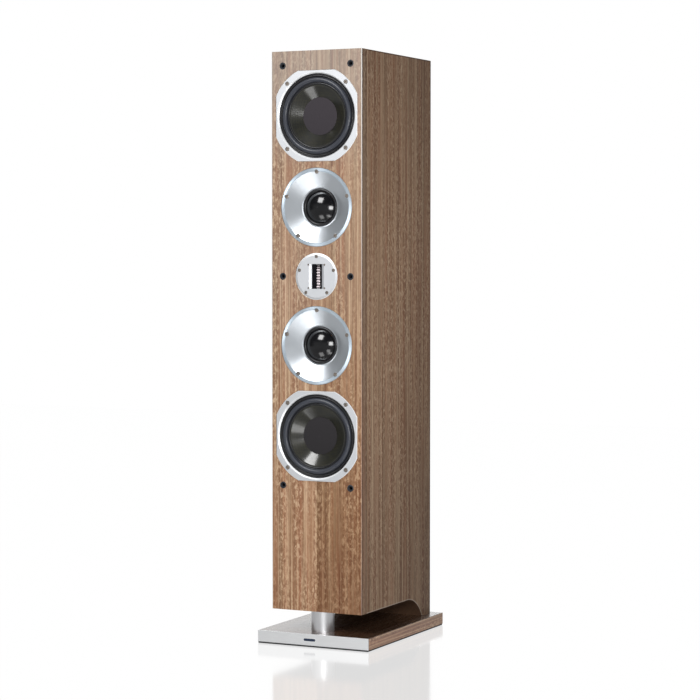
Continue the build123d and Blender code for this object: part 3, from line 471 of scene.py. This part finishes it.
@material
def foil(name):
    """Bare thin aluminium, slightly crinkled across its pleats, with painted shade in the pleats'
    valleys.
    """
    g = Graph(f"foil_{name}")
    crinkle = g.noise(g.place((1400, 500, 500)), 1, 3, 0.6)
    low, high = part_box("tweeter_ribbon")
    depth = g.math("DIVIDE", g.math("SUBTRACT", g.part("Object", "Y"), low.y), high.y - low.y)
    colour = g.ramp(crinkle, (0.3, (0.55, 0.49, 0.51)), (0.7, (0.75, 0.68, 0.70)))
    # painted shade: the pleats darken towards their back
    colour = g.mix(g.ramp(depth, (0.4, 0.0), (0.8, 0.85)), colour, (0.05, 0.045, 0.05))
    g.surface(Base_Color=colour, Metallic=1.0, Roughness=g.ramp(crinkle, (0.3, 0.42), (0.7, 0.5)))
    g.bump(crinkle, 0.2, 0.00015)
    return g.material


# ---------------------------------------------------------------- plastics, rubber and cloth
CONE_WEAVE = 4.4 * MM  # from one yarn of the cones to the next but one


@material
def plastic(name, red, green, blue, roughness):
    """Moulded plastic with a fine spark texture."""
    g = Graph(f"plastic_{name}")
    spark = g.noise(g.place(), 2200, 3, 0.6)
    dust = g.noise(g.place(), 60, 4, 0.6)
    pale = (red + 0.012, green + 0.012, blue + 0.013)
    colour = g.mix(g.ramp(dust, (0.5, 0.0), (0.8, 1.0)), (red, green, blue), pale)
    g.surface(Base_Color=colour, Roughness=g.ramp(spark, (0.3, roughness), (0.7, roughness * 1.2)))
    g.bump(spark, 0.12, 0.0002)
    return g.material


@material
def rubber(name, roughness, centre):
    """Moulded rubber: near black, with a painted sheen on a woofer's roll, faint turned lines and
    bloom.
    """
    g = Graph(f"rubber_{name}")
    radius = g.radius(centre)
    rings = g.noise(g.node("ShaderNodeCombineXYZ", {"X": radius}).outputs[0], 900, 2, 0.6)
    bloom = g.noise(g.place(), 35, 4, 0.6)
    black, bloomed = (0.002, 0.002, 0.0035), (0.005, 0.0055, 0.008)
    colour = g.mix(g.ramp(bloom, (0.4, 0.0), (0.8, 1.0)), black, bloomed)
    roll_middle = (ROLL_INNER + ROLL_OUTER) / 2 * MM
    from_roll = g.math("ABSOLUTE", g.math("SUBTRACT", radius, roll_middle))
    roll_painted_sheen = g.math("LESS_THAN", from_roll, (ROLL_OUTER - ROLL_INNER) / 2 * MM)
    # painted sheen: the roll paler and bluer than the rest of the rubber
    colour = g.mix(roll_painted_sheen, colour, (0.034, 0.038, 0.050))
    g.surface(Base_Color=colour, Roughness=g.ramp(rings, (0.3, roughness), (0.7, roughness * 1.2)))
    g.shader.inputs["Specular IOR Level"].default_value = 0.5
    g.bump(rings, 0.05, 0.0002)
    return g.material


def driver_rubber(kind, name, z):
    """The rubber of one driver's surround."""
    return rubber(f"{kind}_{name}", 0.34, (0, 0, z))


@material
def woven_cone(name, centre):
    """Woven glass fibre in dark resin under a clear gloss coat."""
    g = Graph(f"woven_cone_{name}")
    pitch = 2 * math.pi / CONE_WEAVE
    placed = g.place((pitch, 0, pitch), turn=(0, math.radians(45), 0))
    axes = g.node("ShaderNodeSeparateXYZ", {0: placed})
    warp = g.math("SINE", axes.outputs["X"])
    weft = g.math("SINE", axes.outputs["Z"])
    weave = g.math("MULTIPLY", warp, weft)
    yarn = g.noise(g.place(), 1300, 3, 0.7)
    patches = g.noise(g.place(), 55, 3, 0.6)
    colour = g.ramp(weave, (0.2, (0.001, 0.0015, 0.001)), (0.8, (0.034, 0.031, 0.014)))
    colour = g.mix(g.ramp(yarn, (0.4, 0.0), (0.8, 0.6)), colour, (0.045, 0.041, 0.018))
    colour = g.mix(g.ramp(patches, (0.35, 0.6), (0.62, 0.0)), colour, (0.003, 0.004, 0.0035))
    g.surface(Base_Color=colour, Roughness=g.ramp(yarn, (0.3, 0.42), (0.7, 0.55)))
    g.shader.inputs["Specular IOR Level"].default_value = 0.2
    g.shader.inputs["Coat Weight"].default_value = 0.85
    g.shader.inputs["Coat Roughness"].default_value = 0.15
    g.shader.inputs["Coat IOR"].default_value = 1.65
    g.bump(weave, 0.10, 0.0001)
    return g.material


@material
def fine_cloth(name, red, green, blue, pitch_mm):
    """Close plain weave with a soft sheen."""
    g = Graph(f"cloth_{name}")
    pitch = 2 * math.pi / (pitch_mm * MM)
    axes = g.node("ShaderNodeSeparateXYZ", {0: g.place((pitch, pitch, pitch))})
    warp = g.math("SINE", axes.outputs["X"])
    weft = g.math("SINE", axes.outputs["Z"])
    weave = g.math("MULTIPLY", warp, weft)
    fuzz = g.noise(g.place(), 1700, 4, 0.7)
    colour = g.ramp(weave, (0.1, (red * 0.7, green * 0.7, blue * 0.7)), (0.8, (red, green, blue)))
    paler = (red * 1.6, green * 1.6, blue * 1.6)
    colour = g.mix(g.ramp(fuzz, (0.45, 0.0), (0.8, 0.5)), colour, paler)
    g.surface(Base_Color=colour, Roughness=0.9)
    g.shader.inputs["Sheen Weight"].default_value = 0.12
    g.shader.inputs["Sheen Roughness"].default_value = 0.5
    g.bump(weave, 0.3, 0.0001)
    return g.material


@material
def gloss_dome(name):
    """Coated dome: black, smooth, with the faintest orange peel."""
    g = Graph(f"dome_{name}")
    peel = g.noise(g.place(), 260, 3, 0.6)
    colour = g.ramp(peel, (0.3, (0.001, 0.001, 0.002)), (0.7, (0.003, 0.003, 0.004)))
    g.surface(Base_Color=colour, Roughness=g.ramp(peel, (0.3, 0.12), (0.7, 0.16)))
    g.shader.inputs["Specular IOR Level"].default_value = 0.6
    g.bump(peel, 0.03, 0.0002)
    return g.material


@material
def winding(name, red, green, blue):
    """Turns of enamelled wire."""
    g = Graph(f"winding_{name}")
    turns = g.noise(g.place((4000, 260, 260)), 1, 2, 0.6)
    colour = g.ramp(turns, (0.3, (red * 0.4, green * 0.4, blue * 0.4)), (0.7, (red, green, blue)))
    g.surface(Base_Color=colour, Metallic=0.9, Roughness=g.ramp(turns, (0.3, 0.4), (0.7, 0.25)))
    g.bump(turns, 0.5, 0.0003)
    return g.material


@material
def open_foam():
    """Dark open-celled foam."""
    g = Graph("open_foam")
    cells = g.node("ShaderNodeTexVoronoi", {"Vector": g.place(), "Scale": 420.0})
    hollow, wall = (0.02, 0.02, 0.022), (0.075, 0.075, 0.08)
    colour = g.ramp(cells.outputs["Distance"], (0.0, hollow), (0.6, wall))
    g.surface(Base_Color=colour, Roughness=0.95)
    g.bump(cells.outputs["Distance"], 0.8, 0.001)
    return g.material


# ---------------------------------------------------------------- mesh building
LATHE_STEPS = 224  # round a turned ring
SHARP_ANGLE = math.radians(50)


def new_piece(name, mesh, made_of):
    """A scene object around a mesh, in one material."""
    piece = bpy.data.objects.new(name, mesh)
    bpy.context.scene.collection.objects.link(piece)
    mesh.materials.append(made_of)
    return piece


def finish_mesh(name, vertices, faces):
    """A clean, outward-facing, smooth-shaded mesh with sharp corners kept sharp."""
    mesh = bpy.data.meshes.new(name)
    mesh.from_pydata(vertices, [], faces)
    work = bmesh.new()
    work.from_mesh(mesh)
    bmesh.ops.remove_doubles(work, verts=work.verts, dist=1e-7)
    bmesh.ops.dissolve_degenerate(work, edges=work.edges, dist=1e-7)
    bmesh.ops.recalc_face_normals(work, faces=work.faces)
    work.to_mesh(mesh)
    work.free()
    mesh.polygons.foreach_set("use_smooth", [True] * len(mesh.polygons))
    mesh.set_sharp_from_angle(angle=SHARP_ANGLE)
    mesh.update()
    return mesh


def arc(start, middle_point, end, steps):
    """Points on the circle through three points, from start to end."""
    a, b, c = (np.array(p, float) for p in (start, middle_point, end))
    system = 2 * np.array([b - a, c - a])
    centre = np.linalg.solve(system, [b @ b - a @ a, c @ c - a @ a])
    angles = [math.atan2(*(p - centre)[::-1]) for p in (a, b, c)]
    turn = (angles[2] - angles[0]) % (2 * math.pi)
    if (angles[1] - angles[0]) % (2 * math.pi) > turn:
        turn -= 2 * math.pi
    radius = np.linalg.norm(a - centre)
    spread = [angles[0] + turn * i / steps for i in range(steps + 1)]
    return [(centre[0] + radius * math.cos(t), centre[1] + radius * math.sin(t)) for t in spread]


def lathe_mesh(name, outline, z):
    """A closed (radius, out) outline in millimetres, turned about a driver's axis at height z.

    Out is measured forwards from the baffle's face."""
    vertices, faces = [], []
    for i in range(LATHE_STEPS):
        angle = 2 * math.pi * i / LATHE_STEPS
        c, s = math.cos(angle), math.sin(angle)
        for r, out in outline:
            vertices.append((r * c * MM, FRONT_Y - out * MM, z + r * s * MM))
    count = len(outline)
    for i in range(LATHE_STEPS):
        here, there = i * count, (i + 1) % LATHE_STEPS * count
        for k in range(count):
            after = (k + 1) % count
            faces.append((here + k, here + after, there + after, there + k))
    return finish_mesh(name, vertices, faces)


# ---------------------------------------------------------------- surrounds
def half_roll(inner, outer, base, height, steps=22):
    """A roll's top line from its inner to its outer edge."""
    return arc((inner, base), ((inner + outer) / 2, base + height), (outer, base), steps)


def woofer_surround_outline():
    """Rounded lip over the cone's rim, half roll, ridge and a lined outer ring."""
    inner, outer, under = 66.4, 90.35, -4.15
    lip = arc((inner, -4.0), (68.7, -2.7), (70.8, -3.5), 10)
    roll = half_roll(ROLL_INNER, ROLL_OUTER, -3.3, 5.3)
    ridge = arc((83.2, -3.2), (85.2, -1.35), (87.2, -3.2), 12)
    lines = []
    for start in (87.9, 88.9):
        lines += [(start, -3.2), (start + 0.3, -2.9), (start + 0.6, -3.2)]
    edge = [(outer, -3.3), (outer, under), (ROLL_OUTER - 1, under)]
    inside = half_roll(ROLL_INNER + 1, ROLL_OUTER - 1, -4.1, 5.0)[::-1]
    back = [(ROLL_INNER + 1, under), (inner, under)]
    return [*lip, *roll, (82.6, -3.3), *ridge, *lines, *edge, *inside, *back]


def mid_surround_outline():
    """Narrow half roll from the dome's edge to the ring clamped behind the faceplate."""
    inner, outer, top, under = 33.9, 44.1, -19.0, -19.55
    roll = half_roll(DOME_EDGE, THROAT, top, 2.5)
    inside = half_roll(DOME_EDGE + 0.6, THROAT - 0.6, -19.5, 2.4)[::-1]
    return [(inner, top), *roll, (outer, top), (outer, under), *inside, (inner, under)]


def flexing(piece):
    """Bakes a ring's placement into its mesh."""
    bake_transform(piece)


def surrounds():
    """Replaces the four CAD surrounds by turned rubber rings."""
    kinds = (
        ("woofer", WOOFERS, woofer_surround_outline(), ROLL_OUTER - 0.8, ROLL_INNER + 0.8,
         "surround_rubber"),
        ("mid", MIDS, mid_surround_outline(), THROAT - 0.4, DOME_EDGE + 0.4, "dome_surround"),
    )
    for kind, places, outline, outer, inner, slot in kinds:
        for name, z in places.items():
            node = f"{kind}_{name}_surround"
            mesh = lathe_mesh(f"{node}_ring", outline, z)
            piece = new_piece(f"{node}_ring", mesh, driver_rubber(kind, name, z))
            flexing(piece)
            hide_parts(node)


# ---------------------------------------------------------------- finishes of the CAD nodes
BLACK = ("black", 0.012, 0.012, 0.013, 0.45)
ZINC = ("zinc", 0.55, 0.55, 0.56)
BURNISHED = ("burnished", 0.52, 0.46, 0.41)
COPPER = ("copper", 0.72, 0.38, 0.2)
PILLAR_SILVER = (0.94, 0.94, 0.96)
# the lower cap's darker tone is painted shade
CAP_TONES_LOWER_PAINTED_SHADE = {"upper": 0.034, "lower": 0.012}
# painted shade for the plinth's top and painted light for its edges
PLINTH_TOP_PAINTED_SHADE, PLINTH_EDGE_PAINTED_LIGHT = (0.20, 0.15, 0.12), (1.22, 1.10, 1.0)


def dress(node, made_of):
    """Gives a CAD node its finish."""
    for slot in frame["nodes"][node].material_slots:
        slot.material = made_of


def dress_cabinet():
    dress("front_baffle", veneer("Z", 0.0, front_painted_light))
    for node in ("side_panel_left", "side_panel_right", "back_panel", "rear_foot"):
        dress(node, veneer("Z", 1.7, side_painted_light))
    dress("top_panel", veneer("Y", 0.4, top_leaf))
    # near black as painted shade under the cabinet
    dress("bottom_panel", plastic("underside", 0.010, 0.008, 0.007, 0.6))
    for node, tone in (("line_partition", 1.0), ("window_braces", 1.1)):
        dress(node, fibreboard(tone))
    dress("damping_foam", open_foam())
    dress("grille_sockets", plastic("socket", 0.018, 0.02, 0.026, 0.4))


def dress_plinth():
    pillar = tuple(middle("front_pillar"))
    dress("plinth_board", gloss_veneer("Y", 2.3, PLINTH_TOP_PAINTED_SHADE, PLINTH_EDGE_PAINTED_LIGHT))
    # black, standing in for the painted shadow line under the plinth
    dress("plinth_base_plate", plastic("base_plate", 0.012, 0.012, 0.013, 0.6))
    dress("plinth_front_strip", brushed_metal("strip", 0.94, 0.95, 0.96, 0.34, "X"))
    dress("plinth_badge", plastic("badge", 0.012, 0.022, 0.05, 0.25))
    dress("front_pillar", turned_metal("pillar", *PILLAR_SILVER, 0.26, pillar, "Z", 0.85))
    dress("plinth_bolts", screw_metal(*ZINC))
    dress("spike_inserts", screw_metal("insert", 0.72, 0.56, 0.30))


def dress_drivers():
    for name, z in WOOFERS.items():
        plate = plate_metal(f"woofer_{name}", (0, 0, z), BEVEL_R, PLATE_R, PLATE_FLATS)
        dress(f"woofer_{name}_chassis", plate)
        dress(f"woofer_{name}_surround", driver_rubber("woofer", name, z))
        dress(f"woofer_{name}_cone", woven_cone(name, (0, 0, z)))
        # the lower cap takes a darker tone as painted shade
        tone = CAP_TONES_LOWER_PAINTED_SHADE[name]
        dress(f"woofer_{name}_dust_cap", fine_cloth(f"cap_{name}", tone, tone * 0.8, tone, 0.9))
        dress(f"woofer_{name}_voice_coil", winding(*COPPER))
        dress(f"woofer_{name}_spider", fine_cloth("spider", 0.32, 0.2, 0.07, 0.8))
    for name, z in MIDS.items():
        dress(f"mid_{name}_faceplate", horn_metal(name, (0, 0, z)))
        dress(f"mid_{name}_dome", gloss_dome("mid"))
        dress(f"mid_{name}_surround", driver_rubber("mid", name, z))
        dress(f"mid_{name}_voice_coil", winding(*COPPER))
    for node in ("woofer_magnets", "mid_magnets"):
        dress(node, plastic("ferrite", 0.03, 0.03, 0.034, 0.55))
    for node in ("woofer_pole_plates", "mid_pole_plates"):
        dress(node, screw_metal(*ZINC))
    for node in ("woofer_screws", "plate_screws"):
        dress(node, screw_metal(*BURNISHED))
    dress("mid_rear_cups", plastic(*BLACK))
    tweeter_plate = plate_metal("tweeter", (0, 0, TWEETER_Z), 0.0, TWEETER_R, 2 * TWEETER_R)
    dress("tweeter_faceplate", tweeter_plate)
    dress("tweeter_magnet_poles", screw_metal("black_oxide", 0.008, 0.008, 0.010))
    dress("tweeter_housing", plastic(*BLACK))
    dress("tweeter_ribbon", foil("ribbon"))
    dress("tweeter_ribbon_clamps", screw_metal(*ZINC))


def dress_terminals():
    brass = screw_metal("plated", 0.83, 0.62, 0.28)
    dress("terminal_cup", plastic(*BLACK))
    dress("binding_posts", brass)
    for name, tint in (("plus", (0.25, 0.01, 0.01)), ("minus", (0.012, 0.012, 0.014))):
        dress(f"clamp_washer_{name}", brass)
        dress(f"terminal_knob_{name}", plastic(f"knob_{name}", *tint, 0.3))
    dress("crossover_board", plastic("laminate", 0.015, 0.07, 0.03, 0.4))
    dress("crossover_coils", winding(*COPPER))
    dress("crossover_capacitors", plastic("film", 0.45, 0.30, 0.05, 0.3))
    dress("wiring_leads", plastic("sheath", 0.2, 0.01, 0.01, 0.45))


# ---------------------------------------------------------------- camera, lights and floor
VIEW_AZIMUTH, VIEW_DIP = math.radians(26.02), math.radians(2.488)
VIEW_DISTANCE, VIEW_LENS = 5.005, 116.14  # metres, and millimetres on a 36 mm sensor
VIEW_AIM_OFFSET = Vector((-0.0048, -0.0025, -0.0076))  # from the object's middle
LIGHT_TARGET = (0, 0, 0.7)  # a little above the object's middle
ROOM_GLOW = 0.12  # the studio's walls and ceiling, against a backdrop of 1
FRONT_BAND = 0.30  # added at eye level in front
FLOOR_HALF = 6.0
FLOOR_GLOW = 0.36  # as the object sees it
FLOOR_MIRROR = 0.28


def aim_from(direction, distance, target):
    """A place at a distance from target, and the rotation that looks back at it."""
    place = Vector(target) + Vector(direction).normalized() * distance
    return place, (Vector(target) - place).to_track_quat("-Z", "Y").to_euler()


def camera():
    """Long lens a little above the middle, seen from the right front."""
    data = bpy.data.cameras.new("camera")
    data.lens = VIEW_LENS
    seen = bpy.data.objects.new("camera", data)
    bpy.context.scene.collection.objects.link(seen)
    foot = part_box("plinth_base_plate")[0].z
    aim = Vector((0, 0, (CABINET_TOP + foot) / 2)) + VIEW_AIM_OFFSET
    level = math.cos(VIEW_DIP)
    forward = Vector((
        -math.sin(VIEW_AZIMUTH) * level,
        math.cos(VIEW_AZIMUTH) * level,
        -math.sin(VIEW_DIP),
    ))
    seen.location = aim - forward * VIEW_DISTANCE
    seen.rotation_euler = (math.pi / 2 - VIEW_DIP, 0, VIEW_AZIMUTH)
    bpy.context.scene.camera = seen


def softbox(name, direction, distance, width, height, power, target=LIGHT_TARGET):
    """An area light in a direction from its target, in metres and watts."""
    data = bpy.data.lights.new(name, "AREA")
    data.shape = "RECTANGLE"
    data.size, data.size_y = width, height
    data.energy = power
    light = bpy.data.objects.new(name, data)
    light.location, light.rotation_euler = aim_from(direction, distance, target)
    light.visible_camera = False
    bpy.context.scene.collection.objects.link(light)


def lights():
    """A high broad softbox in front, a small one at the right for the horns, a smaller one for the
    pillar and a broad one behind for views of the back."""
    softbox("key", (-0.20, -0.76, 0.616), 5.5, 2.3, 2.3, 222)
    horns = (0.05, FRONT_Y, TWEETER_Z + 0.03)
    softbox("right", (0.72, -0.69, 0.03), 1.6, 0.60, 0.50, 15, horns)
    softbox("low", (0.56, -0.82, 0.14), 0.8, 0.26, 0.30, 1.0, middle("front_pillar"))
    softbox("rear", (-0.15, 0.90, 0.40), 4.5, 2.0, 2.0, 70)


def studio():
    """The world: white where the camera sees it, and white, pale or dim by direction as the object
    is lit by it."""
    world = bpy.data.worlds.new("studio")
    node = Nodes(world).node

    def towards(axis, start, end, value):
        """Rises smoothly from 0 to value as a direction turns towards axis."""
        dot = node("ShaderNodeVectorMath", {0: direction, 1: axis}, operation="DOT_PRODUCT")
        limits = {"Value": dot.outputs["Value"], "From Min": start, "From Max": end}
        limits["To Max"] = value
        rise = node("ShaderNodeMapRange", limits, interpolation_type="SMOOTHSTEP")
        return rise.outputs["Result"]

    def combine(operation, first, second):
        return node("ShaderNodeMath", {0: first, 1: second}, operation=operation).outputs[0]

    # white behind the object, a pale band in front, dim elsewhere
    direction = node("ShaderNodeTexCoord").outputs["Generated"]
    behind = (-math.sin(VIEW_AZIMUTH), math.cos(VIEW_AZIMUTH), 0)
    backdrop = towards(behind, 0.72, 0.86, 1 - ROOM_GLOW)
    front = towards((-0.17, -0.985, 0), 0.55, 0.92, FRONT_BAND)
    not_low = towards((0, 0, 1), -0.5, -0.15, 1)
    not_high = towards((0, 0, -1), -0.38, -0.12, 1)
    band = combine("MULTIPLY", combine("MULTIPLY", front, not_low), not_high)
    glow = combine("ADD", combine("ADD", backdrop, band), ROOM_GLOW)
    is_seen = node("ShaderNodeLightPath").outputs["Is Camera Ray"]
    strength = node("ShaderNodeMix", {"Factor": is_seen, "A": glow, "B": 1.0}).outputs["Result"]
    background = node("ShaderNodeBackground", {"Color": (1, 1, 1, 1), "Strength": strength})
    node("ShaderNodeOutputWorld", {"Surface": background.outputs[0]})
    bpy.context.scene.world = world
    bpy.context.scene.view_settings.view_transform = "Standard"


def floor(name, glow_strength):
    """A glowing, faintly mirroring plane under the object, which isn't part of it."""
    mesh = bpy.data.meshes.new(name)
    corners = [(x * FLOOR_HALF, y * FLOOR_HALF, 0) for x, y in ((-1, -1), (1, -1), (1, 1), (-1, 1))]
    mesh.from_pydata(corners, [], [(0, 1, 2, 3)])
    ground = bpy.data.objects.new(name, mesh)
    bpy.context.scene.collection.objects.link(ground)
    finish = bpy.data.materials.new(name)
    node = Nodes(finish).node
    glow = node("ShaderNodeEmission", {"Strength": glow_strength})
    mirror = (FLOOR_MIRROR, FLOOR_MIRROR, FLOOR_MIRROR, 1)
    gloss = node("ShaderNodeBsdfGlossy", {"Color": mirror, "Roughness": 0.1})
    both = node("ShaderNodeAddShader", {0: glow.outputs[0], 1: gloss.outputs[0]})
    node("ShaderNodeOutputMaterial", {"Surface": both.outputs[0]})
    mesh.materials.append(finish)
    return ground


def floors():
    """One floor for the camera, which mirrors the object but no softbox, and one that only lights
    the object, with the softboxes mirrored in it."""
    seen = floor("floor", 1 - FLOOR_MIRROR)
    seen.visible_diffuse = seen.visible_glossy = False
    under = floor("floor_for_light", FLOOR_GLOW)
    under.visible_camera = False
    under.location.z = -1 * MM  # in the same plane, the seen floor would mirror it
    left_out = bpy.data.collections.new("not_lit_by_softboxes")
    left_out.objects.link(seen)
    left_out.collection_objects[0].light_linking.link_state = "EXCLUDE"
    for light in bpy.context.scene.objects:
        if light.type == "LIGHT":
            light.light_linking.receiver_collection = left_out


dress_cabinet()
dress_plinth()
dress_drivers()
dress_terminals()
surrounds()
camera()
lights()
studio()
floors()
